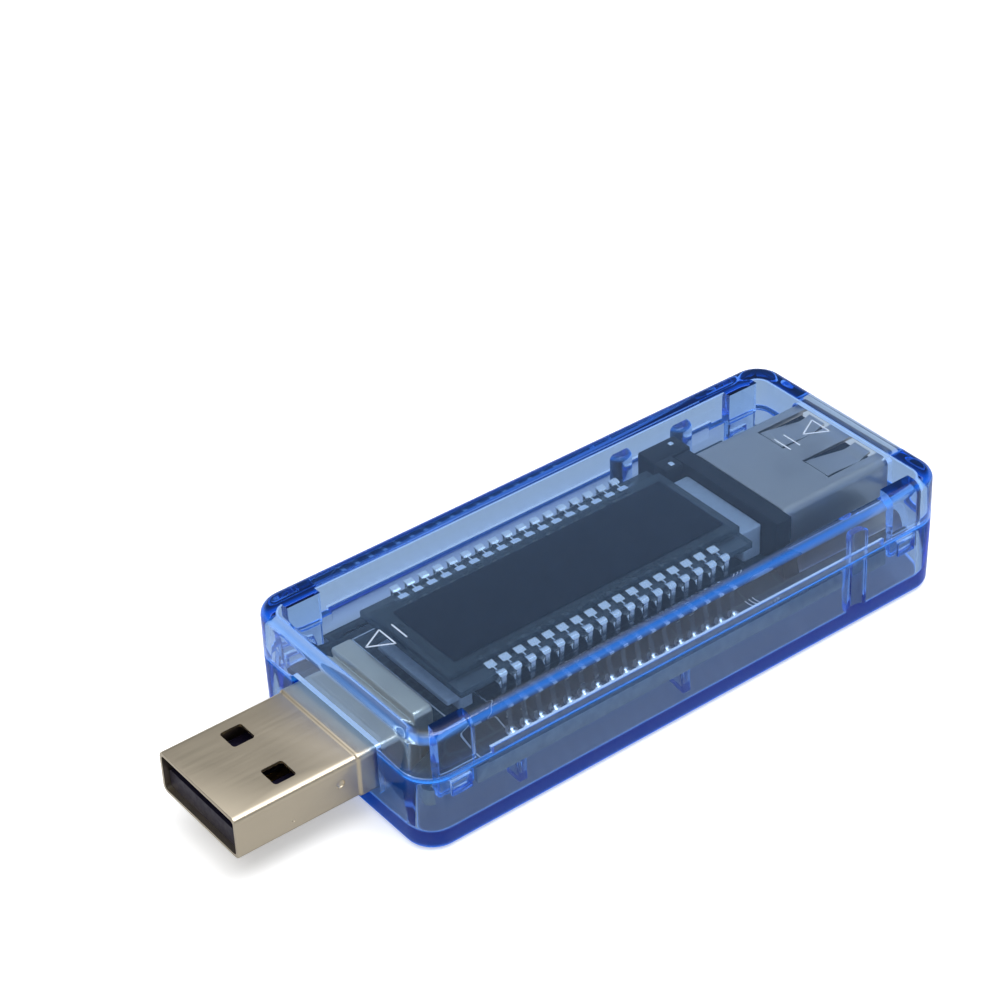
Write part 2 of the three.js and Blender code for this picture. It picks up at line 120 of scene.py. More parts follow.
class MeterDisplay(bpy.types.PropertyGroup):
    film: colour("Film", "Dark film over the display", (0.004, 0.008, 0.014))
    glass: colour("Glass", "Edge colour of the display's glass", (0.05, 0.075, 0.08))
    light: colour("Backlight", "White moulding under the display", (0.52, 0.56, 0.60))


class MeterBoard(bpy.types.PropertyGroup):
    mask: colour("Mask", "Solder mask", (0.020, 0.030, 0.032))
    fibre: colour("Fibre", "Cut edge of the glass-fibre board", (0.30, 0.31, 0.29))
    print: colour("Print", "White print on the board", (0.72, 0.74, 0.74))


class MeterStage(bpy.types.PropertyGroup):
    azimuth: bpy.props.FloatProperty(
        name="Azimuth", description="Camera direction about the upright axis",
        default=math.radians(-36.332), subtype="ANGLE")
    elevation: bpy.props.FloatProperty(
        name="Elevation", description="Camera height angle", default=math.radians(35.312),
        subtype="ANGLE")
    roll: bpy.props.FloatProperty(
        name="Roll", description="Camera turned about its own axis", default=math.radians(-2.519),
        subtype="ANGLE")
    distance: length("Distance", "Camera to the point it looks at", 279.04)
    focal: bpy.props.FloatProperty(
        name="Focal length", description="Lens in millimetres", default=98.35)
    sky: bpy.props.FloatProperty(
        name="Sky", description="Strength of the overhead light", default=1.0, min=0)


SETTINGS = {"meter_casing": MeterCasing, "meter_metal": MeterMetal, "meter_display": MeterDisplay,
            "meter_board": MeterBoard, "meter_stage": MeterStage}


def settings(name):
    """One property group of the current scene."""
    return getattr(bpy.context.scene, "meter_" + name)


def mm(value):
    """A stored length in millimetres."""
    return value / MM


# ---- surfaces ----
def ring_outline(half_u, half_v, radius, per_corner=10):
    """A rectangle with quarter-circle corners, anticlockwise: each corner's centre plus its
    radius times the cosine and sine of an angle that runs a quarter turn."""
    radius = min(radius, half_u, half_v)
    turn = np.linspace(0, np.pi / 2, per_corner + 1)
    start = np.repeat(np.arange(4) * np.pi / 2 - np.pi / 2, per_corner + 1)
    angle = np.tile(turn, 4) + start
    sign_u = np.repeat([1, 1, -1, -1], per_corner + 1)
    sign_v = np.repeat([-1, 1, 1, -1], per_corner + 1)
    u = sign_u * (half_u - radius) + radius * np.cos(angle)
    v = sign_v * (half_v - radius) + radius * np.sin(angle)
    return np.stack([u, v], 1)


def loft(rings, caps=True, loop=False):
    """Quads between rings of equal count: point (i, j) joins (i, j+1), (i+1, j+1), (i+1, j)."""
    rings = np.asarray(rings, float)
    rows, count = rings.shape[:2]
    last = rows if loop else rows - 1
    i, j = np.meshgrid(np.arange(last), np.arange(count), indexing="ij")
    next_i = (i + 1) % rows
    next_j = (j + 1) % count
    quads = np.stack([i * count + j, i * count + next_j, next_i * count + next_j,
                      next_i * count + j], -1).reshape(-1, 4).tolist()
    if caps and not loop:
        quads.append(list(range(count))[::-1])
        quads.append(list(range((rows - 1) * count, rows * count)))
    return rings.reshape(-1, 3), quads


def join(parts):
    """Several (points, faces) as one."""
    points, faces, base = [], [], 0
    for part_points, part_faces in parts:
        points.append(part_points)
        faces.extend([[k + base for k in face] for face in part_faces])
        base += len(part_points)
    return np.concatenate(points), faces


AXES = {"x": (1, 2, 0), "y": (2, 0, 1), "z": (0, 1, 2)}


def along(axis, uv, w):
    """Points with the two outline coordinates and one level, turned so that the level lies
    along the named axis."""
    iu, iv, iw = AXES[axis]
    points = np.empty((len(uv), 3))
    points[:, iu] = uv[:, 0]
    points[:, iv] = uv[:, 1]
    points[:, iw] = w
    return points


def block(low, high, corner=0.15, edge=0.08, axis="z", steps=3, per_corner=4, taper=0.0):
    """A box with rounded upright corners and rounded rims. Level w and inset d follow a
    quarter circle at each end; taper draws the far end in."""
    low, high = np.asarray(low, float), np.asarray(high, float)
    iu, iv, iw = AXES[axis]
    middle = (low + high) / 2
    half = (high - low) / 2
    turn = np.linspace(0, np.pi / 2, steps + 1)
    inset = edge * (1 - np.sin(turn))
    level = edge * (1 - np.cos(turn))
    levels = np.concatenate([low[iw] + level, high[iw] - level[::-1]])
    insets = np.concatenate([inset, inset[::-1] + taper])
    rings = []
    for w, d in zip(levels, insets):
        uv = ring_outline(half[iu] - d, half[iv] - d, max(corner - d * 0.5, 0.01), per_corner)
        rings.append(along(axis, uv + [middle[iu], middle[iv]], w))
    return loft(rings)


def rounded_path(points, cuts=3, share=0.25):
    """Cuts each inner corner of a line again and again, a quarter in from both ends."""
    points = np.asarray(points, float)
    for _ in range(cuts):
        a, b = points[:-1], points[1:]
        inner = np.stack([a + (b - a) * share, b - (b - a) * share], 1).reshape(-1, points.shape[1])
        points = np.concatenate([points[:1], inner[1:-1], points[-1:]])
    return points


def strip(path, thick, width, plane="xz", at=0.0, end_width=None, bevel=0.04):
    """A flat strip along a line in a plane. Its section is a rectangle with cut corners, set
    square to the line; the width runs across the plane. It may change evenly to end_width, or
    be given for each point of the line."""
    path = np.asarray(path, float)
    tangent = np.gradient(path, axis=0)
    tangent /= np.linalg.norm(tangent, axis=1)[:, None]
    normal = np.stack([-tangent[:, 1], tangent[:, 0]], 1)
    end_width = width if end_width is None else end_width
    run = np.linspace(0, 1, len(path))
    half_w = ((width + (end_width - width) * run) / 2)[:, None]
    half_t = thick / 2
    sec_w = np.stack([half_w[:, 0] * s - b * np.sign(s) for s, b in
                      zip([-1, -1, 1, 1, 1, 1, -1, -1], [bevel, 0, 0, bevel, bevel, 0, 0, bevel])], 1)
    sec_t = np.array([-half_t, -half_t + bevel, -half_t + bevel, -half_t,
                      half_t, half_t - bevel, half_t - bevel, half_t])
    order = [0, 3, 2, 5, 4, 7, 6, 1]
    sec_w = sec_w[:, order]
    sec_t = sec_t[order]
    flat = path[:, None, :] + normal[:, None, :] * sec_t[None, :, None]
    points = np.empty((len(path), 8, 3))
    first, second, across = {"xz": (0, 2, 1), "yz": (1, 2, 0), "xy": (0, 1, 2)}[plane]
    points[:, :, first] = flat[:, :, 0]
    points[:, :, second] = flat[:, :, 1]
    points[:, :, across] = at + sec_w
    return loft(points)


def dome(centre, radius, height, rings=5, sides=14, up=1, sharp=1.6):
    """A solder fillet: the radius falls from the foot to the top as one less the height's
    share to a power, closed by a flat foot."""
    share = np.linspace(0, 1, rings + 1)[:-1]
    turn = np.arange(sides) * 2 * np.pi / sides
    radii = radius * (1 - share ** sharp)
    x = centre[0] + radii[:, None] * np.cos(turn)
    y = centre[1] + radii[:, None] * np.sin(turn)
    z = centre[2] + up * height * np.repeat(share[:, None], sides, 1)
    return loft(np.stack([x, y, z], -1))


def mesh_object(name, part):
    """A mesh object from (points, faces) in millimetres, its faces turned outwards."""
    points, faces = part
    points = (points + [CASE_X, 0, 0]) * MM
    mesh = bpy.data.meshes.new(name)
    mesh.from_pydata(points.tolist(), [], faces)
    work = bmesh.new()
    work.from_mesh(mesh)
    bmesh.ops.recalc_face_normals(work, faces=work.faces)
    work.to_mesh(mesh)
    work.free()
    piece = bpy.data.objects.new(name, mesh)
    bpy.context.collection.objects.link(piece)
    return piece


def carve(piece, tools, operation="DIFFERENCE"):
    """Cuts or joins each tool solid into the piece, exactly, and removes the tools."""
    for k, tool in enumerate(tools):
        cutter = mesh_object(f"tool_{k}", tool)
        modifier = piece.modifiers.new("join", "BOOLEAN")
        modifier.operation = operation
        modifier.solver = "EXACT"
        modifier.object = cutter
        depsgraph = bpy.context.evaluated_depsgraph_get()
        mesh = bpy.data.meshes.new_from_object(piece.evaluated_get(depsgraph))
        old = piece.data
        piece.modifiers.clear()
        piece.data = mesh
        bpy.data.meshes.remove(old)
        old = cutter.data
        bpy.data.objects.remove(cutter)
        bpy.data.meshes.remove(old)


def settle(piece, materials, body=ROOT, replaces=(), smooth=32):
    """Gives a piece its materials, body and slot. Edges sharper than the angle stay sharp."""
    piece.data.name = piece.name
    piece.data.materials.clear()
    for material in materials:
        piece.data.materials.append(material)
    piece.data.polygons.foreach_set("use_smooth", [True] * len(piece.data.polygons))
    piece.data.set_sharp_from_angle(angle=math.radians(smooth))
    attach(piece, body)
    if replaces:
        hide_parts(*replaces)
    return piece


def piece(name, parts, material, slot, body=ROOT, replaces=(), smooth=32):
    """Joins parts into one piece and settles it."""
    made = mesh_object(name, join(parts))
    return settle(made, [material], body, replaces, smooth)


def face_table(mesh):
    """Centres in millimetres and normals of a mesh's faces, as arrays."""
    count = len(mesh.polygons)
    centres, normals = np.empty(count * 3), np.empty(count * 3)
    mesh.polygons.foreach_get("center", centres)
    mesh.polygons.foreach_get("normal", normals)
    centres = centres.reshape(-1, 3) / MM - [CASE_X, 0, 0]
    return centres, normals.reshape(-1, 3)


# ---- shared effects ----
def effect_group(name, inputs, outputs):
    """An empty shader node group with number inputs, a vector input and the named outputs."""
    group = bpy.data.node_groups.new(name, "ShaderNodeTree")
    group.interface.new_socket("Vector", in_out="INPUT", socket_type="NodeSocketVector")
    for label, default in inputs:
        socket = group.interface.new_socket(label, in_out="INPUT", socket_type="NodeSocketFloat")
        socket.default_value = default
    for label in outputs:
        group.interface.new_socket(label, in_out="OUTPUT", socket_type="NodeSocketFloat")
    return group, group.nodes.new("NodeGroupInput"), group.nodes.new("NodeGroupOutput")


def grain_effect():
    """Fine moulded grain: noise at one scale, stretched to the asked low and high value."""
    found = bpy.data.node_groups.get("Moulded grain")
    if found:
        return found
    group, given, out = effect_group(
        "Moulded grain", [("Scale", 900.0), ("Low", 0.3), ("High", 0.5)], ["Value", "Height"])
    noise = group.nodes.new("ShaderNodeTexNoise")
    noise.inputs["Detail"].default_value = 4
    spread = group.nodes.new("ShaderNodeMapRange")
    spread.inputs["From Min"].default_value = 0.3
    spread.inputs["From Max"].default_value = 0.7
    link = group.links.new
    link(given.outputs["Vector"], noise.inputs["Vector"])
    link(given.outputs["Scale"], noise.inputs["Scale"])
    link(noise.outputs["Fac"], spread.inputs["Value"])
    link(given.outputs["Low"], spread.inputs["To Min"])
    link(given.outputs["High"], spread.inputs["To Max"])
    link(spread.outputs["Result"], out.inputs["Value"])
    link(noise.outputs["Fac"], out.inputs["Height"])
    return group


def brushed_effect():
    """Rolled or brushed metal: noise drawn out along X, with a slow blotch over it."""
    found = bpy.data.node_groups.get("Rolled metal")
    if found:
        return found
    group, given, out = effect_group(
        "Rolled metal", [("Fine", 2500.0), ("Blotch", 150.0)], ["Lines", "Blotches"])
    stretch = group.nodes.new("ShaderNodeMapping")
    stretch.inputs["Scale"].default_value = (0.04, 1, 1)
    lines = group.nodes.new("ShaderNodeTexNoise")
    lines.inputs["Detail"].default_value = 3
    blotch = group.nodes.new("ShaderNodeTexNoise")
    blotch.inputs["Detail"].default_value = 5
    link = group.links.new
    link(given.outputs["Vector"], stretch.inputs["Vector"])
    link(stretch.outputs["Vector"], lines.inputs["Vector"])
    link(given.outputs["Fine"], lines.inputs["Scale"])
    link(given.outputs["Vector"], blotch.inputs["Vector"])
    link(given.outputs["Blotch"], blotch.inputs["Scale"])
    link(lines.outputs["Fac"], out.inputs["Lines"])
    link(blotch.outputs["Fac"], out.inputs["Blotches"])
    return group


class Finish:
    """A material under construction: its nodes, its links and its surface shader."""

    def __init__(self, name, base=(0.8, 0.8, 0.8), metallic=0.0, roughness=0.4):
        self.material = bpy.data.materials.new(name)
        self.material.use_nodes = True
        self.tree = self.material.node_tree
        self.surface = self.tree.nodes["Principled BSDF"]
        self.out = self.tree.nodes["Material Output"]
        self.set("Base Color", (*base, 1))
        self.set("Metallic", metallic)
        self.set("Roughness", roughness)
        self.place = self.tree.nodes.new("ShaderNodeTexCoord").outputs["Object"]

    def set(self, socket, value):
        self.surface.inputs[socket].default_value = value

    def node(self, kind, **values):
        made = self.tree.nodes.new(kind)
        for key, value in values.items():
            made.inputs[key.replace("_", " ")].default_value = value
        return made

    def link(self, source, target):
        self.tree.links.new(source, target)

    def effect(self, group, **values):
        made = self.tree.nodes.new("ShaderNodeGroup")
        made.node_tree = group
        for key, value in values.items():
            made.inputs[key].default_value = value
        self.link(self.place, made.inputs["Vector"])
        return made

    def mix(self, mask, low, high):
        """A colour between low and high by the mask."""
        made = self.tree.nodes.new("ShaderNodeMix")
        made.data_type = "RGBA"
        self.link(mask, made.inputs["Factor"])
        for socket, value in ((made.inputs[6], low), (made.inputs[7], high)):
            if isinstance(value, bpy.types.NodeSocket):
                self.link(value, socket)
            else:
                socket.default_value = (*value, 1)
        return made.outputs[2]

    def spread(self, value, low, high, start=0.3, stop=0.7):
        """A number between low and high as the value goes from start to stop."""
        made = self.node("ShaderNodeMapRange", From_Min=start, From_Max=stop, To_Min=low, To_Max=high)
        self.link(value, made.inputs["Value"])
        return made.outputs["Result"]

    def math(self, operation, *values):
        """The result of an arithmetic node on numbers or other nodes' outputs."""
        made = self.tree.nodes.new("ShaderNodeMath")
        made.operation = operation
        for socket, value in zip(made.inputs, values):
            if isinstance(value, bpy.types.NodeSocket):
                self.link(value, socket)
            else:
                socket.default_value = value
        return made.outputs["Value"]

    def bump(self, height, strength, distance=0.00002):
        made = self.node("ShaderNodeBump", Strength=strength, Distance=distance)
        self.link(height, made.inputs["Height"])
        self.link(made.outputs["Normal"], self.surface.inputs["Normal"])


def shade(base, factor):
    """A colour made darker or lighter."""
    return tuple(min(1.0, channel * factor) for channel in base)


def once(build):
    """Keeps a material function's result, so that each material is made once."""
    kept = {}

    def wrapped(*key):
        if key not in kept:
            kept[key] = build(*key)
        return kept[key]
    wrapped.__doc__ = build.__doc__
    return wrapped


@once
def clear_plastic(frosted):
    """Clear blue plastic that darkens with the way light goes through it."""
    s = settings("casing")
    f = Finish("frosted_blue_plastic" if frosted else "clear_blue_plastic", (1, 1, 1))
    f.set("Transmission Weight", 1.0)
    f.set("IOR", 1.49)
    low, high = (s.frost * 0.8, s.frost * 1.2) if frosted else (0.0, 0.03)
    grain = f.effect(grain_effect(), Scale=2600.0 if frosted else 220.0, Low=low, High=high)
    f.link(grain.outputs["Value"], f.surface.inputs["Roughness"])
    f.bump(grain.outputs["Height"], 0.25 if frosted else 0.02)
    # Painted glow: emission in the edge glow colour. It is strongest where the normal is half tilted, on
    # the rounded edges (band), grows at grazing angles, and is faint all over the frosted face. It stands
    # in for light that the plastic scatters.
    geometry = f.tree.nodes.new("ShaderNodeNewGeometry")
    split = f.tree.nodes.new("ShaderNodeSeparateXYZ")
    f.link(geometry.outputs["Normal"], split.inputs["Vector"])
    tilt = f.math("ABSOLUTE", split.outputs["Z"])
    band = f.math("MULTIPLY", f.spread(tilt, 0, 1, 0.1, 0.5), f.spread(tilt, 1, 0, 0.7, 0.97))
    facing = f.node("ShaderNodeLayerWeight", Blend=0.5).outputs["Facing"]
    painted_grazing_glow = f.math("MULTIPLY", f.math("POWER", facing, 3), 0.3)
    painted_glow = f.math("MULTIPLY_ADD", band, 0.34, f.math("ADD", painted_grazing_glow, 0.03 if frosted else 0.0))
    f.set("Emission Color", (*s.painted_glow, 1))
    f.link(painted_glow, f.surface.inputs["Emission Strength"])
    volume = f.node("ShaderNodeVolumeAbsorption", Color=(*s.tint, 1), Density=s.density)
    f.link(volume.outputs["Volume"], f.out.inputs["Volume"])
    return f.material


@once
def rolled_metal(name):
    """Rolled sheet metal with faint drawn lines and blotches."""
    base = tuple(getattr(settings("metal"), name))
    f = Finish("metal_" + name, base, metallic=1.0)
    rough = {"nickel": (0.30, 0.36), "steel": (0.32, 0.40), "tin": (0.16, 0.28),
             "gold": (0.16, 0.30)}[name]
    rolled = f.effect(brushed_effect(), Fine=3200.0, Blotch=260.0)
    f.link(f.spread(rolled.outputs["Lines"], *rough), f.surface.inputs["Roughness"])
    f.link(f.mix(rolled.outputs["Blotches"], shade(base, 0.96), shade(base, 1.04)),
           f.surface.inputs["Base Color"])
    f.bump(rolled.outputs["Lines"], 0.015, 0.00001)
    return f.material


@once
def moulded(name, base, low, high, specular):
    """Moulded plastic or ceramic with fine grain."""
    f = Finish(name, base)
    f.set("Specular IOR Level", specular)
    grain = f.effect(grain_effect(), Scale=1800.0, Low=low, High=high)
    f.link(grain.outputs["Value"], f.surface.inputs["Roughness"])
    f.link(f.mix(grain.outputs["Height"], shade(base, 0.82), shade(base, 1.18)),
           f.surface.inputs["Base Color"])
    f.bump(grain.outputs["Height"], 0.15)
    return f.material


def black_plastic():
    """Black moulded insulator."""
    return moulded("black_plastic", (0.012, 0.014, 0.015), 0.4, 0.6, 0.2)


def chip_plastic():
    """Black moulding compound of a chip."""
    return moulded("chip_plastic", (0.030, 0.030, 0.032), 0.5, 0.7, 0.4)


def print_ink():
    """White printed ink."""
    return moulded("print_ink", tuple(settings("board").print), 0.5, 0.7, 0.3)


@once
def board_mask():
    """Dark solder mask over copper tracks, with the fibre showing at the cut edges."""
    s = settings("board")
    f = Finish("board_mask", tuple(s.mask))
    f.set("Specular IOR Level", 0.35)
    grain = f.effect(grain_effect(), Scale=1200.0, Low=0.28, High=0.42)
    tracks = f.node("ShaderNodeTexBrick", Scale=1.0, Mortar_Size=0.00012, Brick_Width=0.0042,
                    Row_Height=0.0011, Mortar_Smooth=0.2)
    f.link(f.place, tracks.inputs["Vector"])
    mask = tuple(s.mask)
    surface = f.mix(tracks.outputs["Fac"], mask, shade(mask, 1.9))
    normal = f.tree.nodes.new("ShaderNodeNewGeometry")
    split = f.tree.nodes.new("ShaderNodeSeparateXYZ")
    f.link(normal.outputs["Normal"], split.inputs["Vector"])
    upright = f.tree.nodes.new("ShaderNodeMath")
    upright.operation = "ABSOLUTE"
    f.link(split.outputs["Z"], upright.inputs[0])
    flat = f.spread(upright.outputs["Value"], 0, 1, 0.4, 0.6)
    fibre = f.mix(grain.outputs["Height"], shade(s.fibre, 0.6), shade(s.fibre, 1.4))
    f.link(f.mix(flat, fibre, surface), f.surface.inputs["Base Color"])
    f.link(grain.outputs["Value"], f.surface.inputs["Roughness"])
    f.bump(tracks.outputs["Fac"], 0.3, 0.00003)
    return f.material


@once
def display_glass():
    """Clear thin glass, greenish at its edges."""
    s = settings("display")
    f = Finish("display_glass", tuple(s.glass), roughness=0.04)
    geometry = f.tree.nodes.new("ShaderNodeNewGeometry")
    split = f.tree.nodes.new("ShaderNodeSeparateXYZ")
    f.link(geometry.outputs["Normal"], split.inputs["Vector"])
    upright = f.tree.nodes.new("ShaderNodeMath")
    upright.operation = "ABSOLUTE"
    f.link(split.outputs["Z"], upright.inputs[0])
    f.link(f.spread(upright.outputs["Value"], 0.85, 0.5, 0.2, 0.9), f.surface.inputs["Alpha"])
    return f.material


@once
def display_film():
    """Dark film with a faint grid where the display's cells lie."""
    base = tuple(settings("display").film)
    f = Finish("display_film", base)
    f.set("Specular IOR Level", 0.05)
    cells = f.node("ShaderNodeTexBrick", Scale=1.0, Mortar_Size=0.00006, Brick_Width=0.00165,
                   Row_Height=0.0042, Mortar_Smooth=0.3)
    cells.offset = 0
    f.link(f.place, cells.inputs["Vector"])
    f.link(f.mix(cells.outputs["Fac"], base, shade(base, 1.12)), f.surface.inputs["Base Color"])
    grain = f.effect(grain_effect(), Scale=700.0, Low=0.16, High=0.24)
    f.link(grain.outputs["Value"], f.surface.inputs["Roughness"])
    return f.material


# ---- casing ----
def cover_rings(flat, seam, wall, corner, edge):
    """Rings of a cup from the middle of its flat outside face round its rim and back to the
    middle of its ceiling. Inset and level follow a quarter circle at the rounded edge, and the
    sides lean in by a small draft."""
    toward = 1 if flat > seam else -1
    inner_edge = 0.35
    draft = 0.012
    turn = np.linspace(0, np.pi / 2, 9)
    inset = [edge + 0.5, *(edge * (1 - np.sin(turn))), 0, 0.0, 0.06, 0.16]
    level = [0, *(edge * (1 - np.cos(turn))), edge + 0.3, abs(flat - seam) - 0.16,
             abs(flat - seam) - 0.03, abs(flat - seam)]
    depth = abs(flat - seam)
    inset += [wall - 0.1, wall, wall, *(wall + inner_edge * (1 - np.cos(turn)))]
    level += [depth, depth - 0.1, wall + inner_edge + 0.2, *(wall + inner_edge * (1 - np.sin(turn)))]
    inset += [wall + inner_edge + 0.5]
    level += [wall]
    rings = []
    for d, w in zip(inset, level):
        d = d + draft * (depth - w)
        uv = ring_outline(CASE_LENGTH / 2 - d, CASE_HALF_WIDTH - d, max(corner - d, 0.4), 14)
        rings.append(along("z", uv + [CASE_LENGTH / 2, 0], flat - toward * w))
    return rings


def end_holes():
    """The solids that cut the two ends' holes: a plain one for the plug's raised root and a
    round-cornered one for the socket's shell."""
    shell = node_box("socket_shell")
    gap = 0.2
    return [
        block((-2, -6.5, 3.15), (3, 6.5, 8.75), 0.4, 0.05, "x"),
        block((CASE_LENGTH - 3, shell[0][1] - gap, shell[0][2] - gap),
              (CASE_LENGTH + 2, shell[1][1] + gap, shell[1][2] + gap), 0.8, 0.05, "x"),
    ]


def between(side, inner, outer):
    """A pair of Y values on one side, lowest first."""
    return (inner, outer) if side > 0 else (-outer, -inner)


def side_box(side, x0, x1, inner, outer, z0, z1, **shape):
    """A block beside one long wall."""
    y0, y1 = between(side, inner, outer)
    return block((x0, y0, z0), (x1, y1, z1), **shape)


CLIP_CENTRES = (4.5, 57.5)
POSTS = ((-1, 51.4), (1, 42.3), (1, 50.0))


class METER_OT_front_cover(bpy.types.Operator):
    """Front half of the casing, with four snap tongues and its rebates"""

    bl_idname = "meter.front_cover"
    bl_label = "Front cover"

    def execute(self, context):
        s = settings("casing")
        wall = mm(s.wall)
        inner = CASE_HALF_WIDTH - wall
        cover = mesh_object("front_cover_clear", loft(cover_rings(
            CASE_HEIGHT, SEAM, wall, mm(s.corner), mm(s.edge))))
        carve(cover, end_holes())
        rebates, joined = [], []
        for side in SIDES.values():
            rebates.append(side_box(side, 7.7, 54.3, inner - 0.4, inner + 0.7, SEAM - 1, SEAM + 0.8,
                                    corner=0.05, edge=0.03))
            for centre in CLIP_CENTRES:
                joined.append(side_box(side, centre - 1.8, centre + 1.8, inner - 1.1, inner - 0.2, 5,
                                       SEAM + 1.5, corner=0.2, edge=0.15))
                joined.append(side_box(side, centre - 1.81, centre + 1.81, inner - 1.11, inner + 0.3,
                                       SEAM + 0.3, CASE_HEIGHT - wall + 0.3, corner=0.1, edge=0.05))
                joined.append(side_box(side, centre - 0.85, centre + 0.85, inner - 0.5, inner + 0.35,
                                       5.5, 6.4, corner=0.1, edge=0.1))
        carve(cover, rebates)
        carve(cover, joined, "UNION")
        settle(cover, [clear_plastic(False)], replaces=["front_cover"])
        return {"FINISHED"}


class METER_OT_back_cover(bpy.types.Operator):
    """Back half of the casing, with its lip, four catches and two half-round posts"""

    bl_idname = "meter.back_cover"
    bl_label = "Back cover"

    def execute(self, context):
        s = settings("casing")
        wall = mm(s.wall)
        inner = CASE_HALF_WIDTH - wall
        cover = mesh_object("back_cover_clear", loft(cover_rings(
            0.0, SEAM, wall, mm(s.corner), mm(s.edge))))
        carve(cover, end_holes())
        joined, pockets = [], []
        for side in SIDES.values():
            joined.append(side_box(side, 8, 54, inner - 0.02, inner + 0.6, SEAM - 1, SEAM + 0.7,
                                   corner=0.05, edge=0.08))
            for x in (12.0, 31.0):
                joined.append(side_box(side, x - 0.5, x + 0.5, 9.2, 10.8, wall - 0.4, 4.4))
            for centre in CLIP_CENTRES:
                pockets.append(side_box(side, centre - 1.1, centre + 1.1, inner - 0.4, inner + 0.6,
                                        5.2, 6.7, corner=0.1, edge=0.05))
        joined += [self.post(side, x, inner) for side, x in POSTS]
        carve(cover, joined, "UNION")
        carve(cover, pockets)
        settle(cover, [clear_plastic(False), clear_plastic(True)],
               replaces=["back_cover"])
        centres, normals = face_table(cover.data)
        frosted = (normals[:, 2] < -0.98) & (centres[:, 2] < 0.01)
        cover.data.polygons.foreach_set("material_index", frosted.astype(np.int32))
        return {"FINISHED"}

    def post(self, side, x, inner):
        """A half-round post: rings of a circle of even radius with a rounded top."""
        radius, top = 1.25, 10.5
        turn = np.linspace(0, np.pi / 2, 7)[:-1]
        levels = np.concatenate([[1.2, 8.0], top - 0.6 + 0.6 * np.sin(turn)])
        radii = np.concatenate([[radius, radius], radius - 0.6 + 0.6 * np.cos(turn)])
        angle = np.arange(40) * 2 * np.pi / 40
        rings = [along("z", np.stack([x + r * np.cos(angle),
                                      side * (inner - 0.1) + r * np.sin(angle) * 0.98], 1), w)
                 for r, w in zip(radii, levels)]
        part = loft(rings)
        points = part[0]
        limit = np.where(points[:, 2] > SEAM - 0.6, inner - 0.15, inner + 0.5)
        points[:, 1] = side * np.minimum(side * points[:, 1], limit)
        return points, part[1]


class METER_OT_marks(bpy.types.Operator):
    """Plain raised marks for the way in and the way out: a triangle and bars, no letters"""

    bl_idname = "meter.marks"
    bl_label = "Direction marks"

    def execute(self, context):
        parts = []
        for tip, bars in (((4.4, 0.7), ((8.0, 8.0),)), ((55.9, 0.2), ((54.4, 54.4), (53.2, 53.2)))):
            reach, half = 2.3, 1.25
            parts += self.line([(tip[0], tip[1]), (tip[0] + reach, tip[1] + half),
                                (tip[0] + reach, tip[1] - half), (tip[0], tip[1])])
            for x0, x1 in bars:
                parts += self.line([(x0, tip[1] + 1.1), (x1, tip[1] - 1.1)])
        piece("direction_marks", parts, moulded("mark_ridge", (0.50, 0.60, 0.76), 0.3, 0.4, 0.4),
              "clear_blue_casing")
        return {"FINISHED"}

    def line(self, points):
        """One raised bar along each stretch between two points, with rounded ends."""
        made = []
        for (ax, ay), (bx, by) in zip(points[:-1], points[1:]):
            run = math.hypot(bx - ax, by - ay)
            bar = block((-0.08, -0.08, 0), (run + 0.08, 0.08, 0.06), 0.08, 0.03, per_corner=6)
            turn = math.atan2(by - ay, bx - ax)
            spin = np.array([[math.cos(turn), math.sin(turn)], [-math.sin(turn), math.cos(turn)]])
            flat = bar[0][:, :2] @ spin + [ax, ay]
            made.append((np.column_stack([flat, bar[0][:, 2] + CASE_HEIGHT]), bar[1]))
        return made


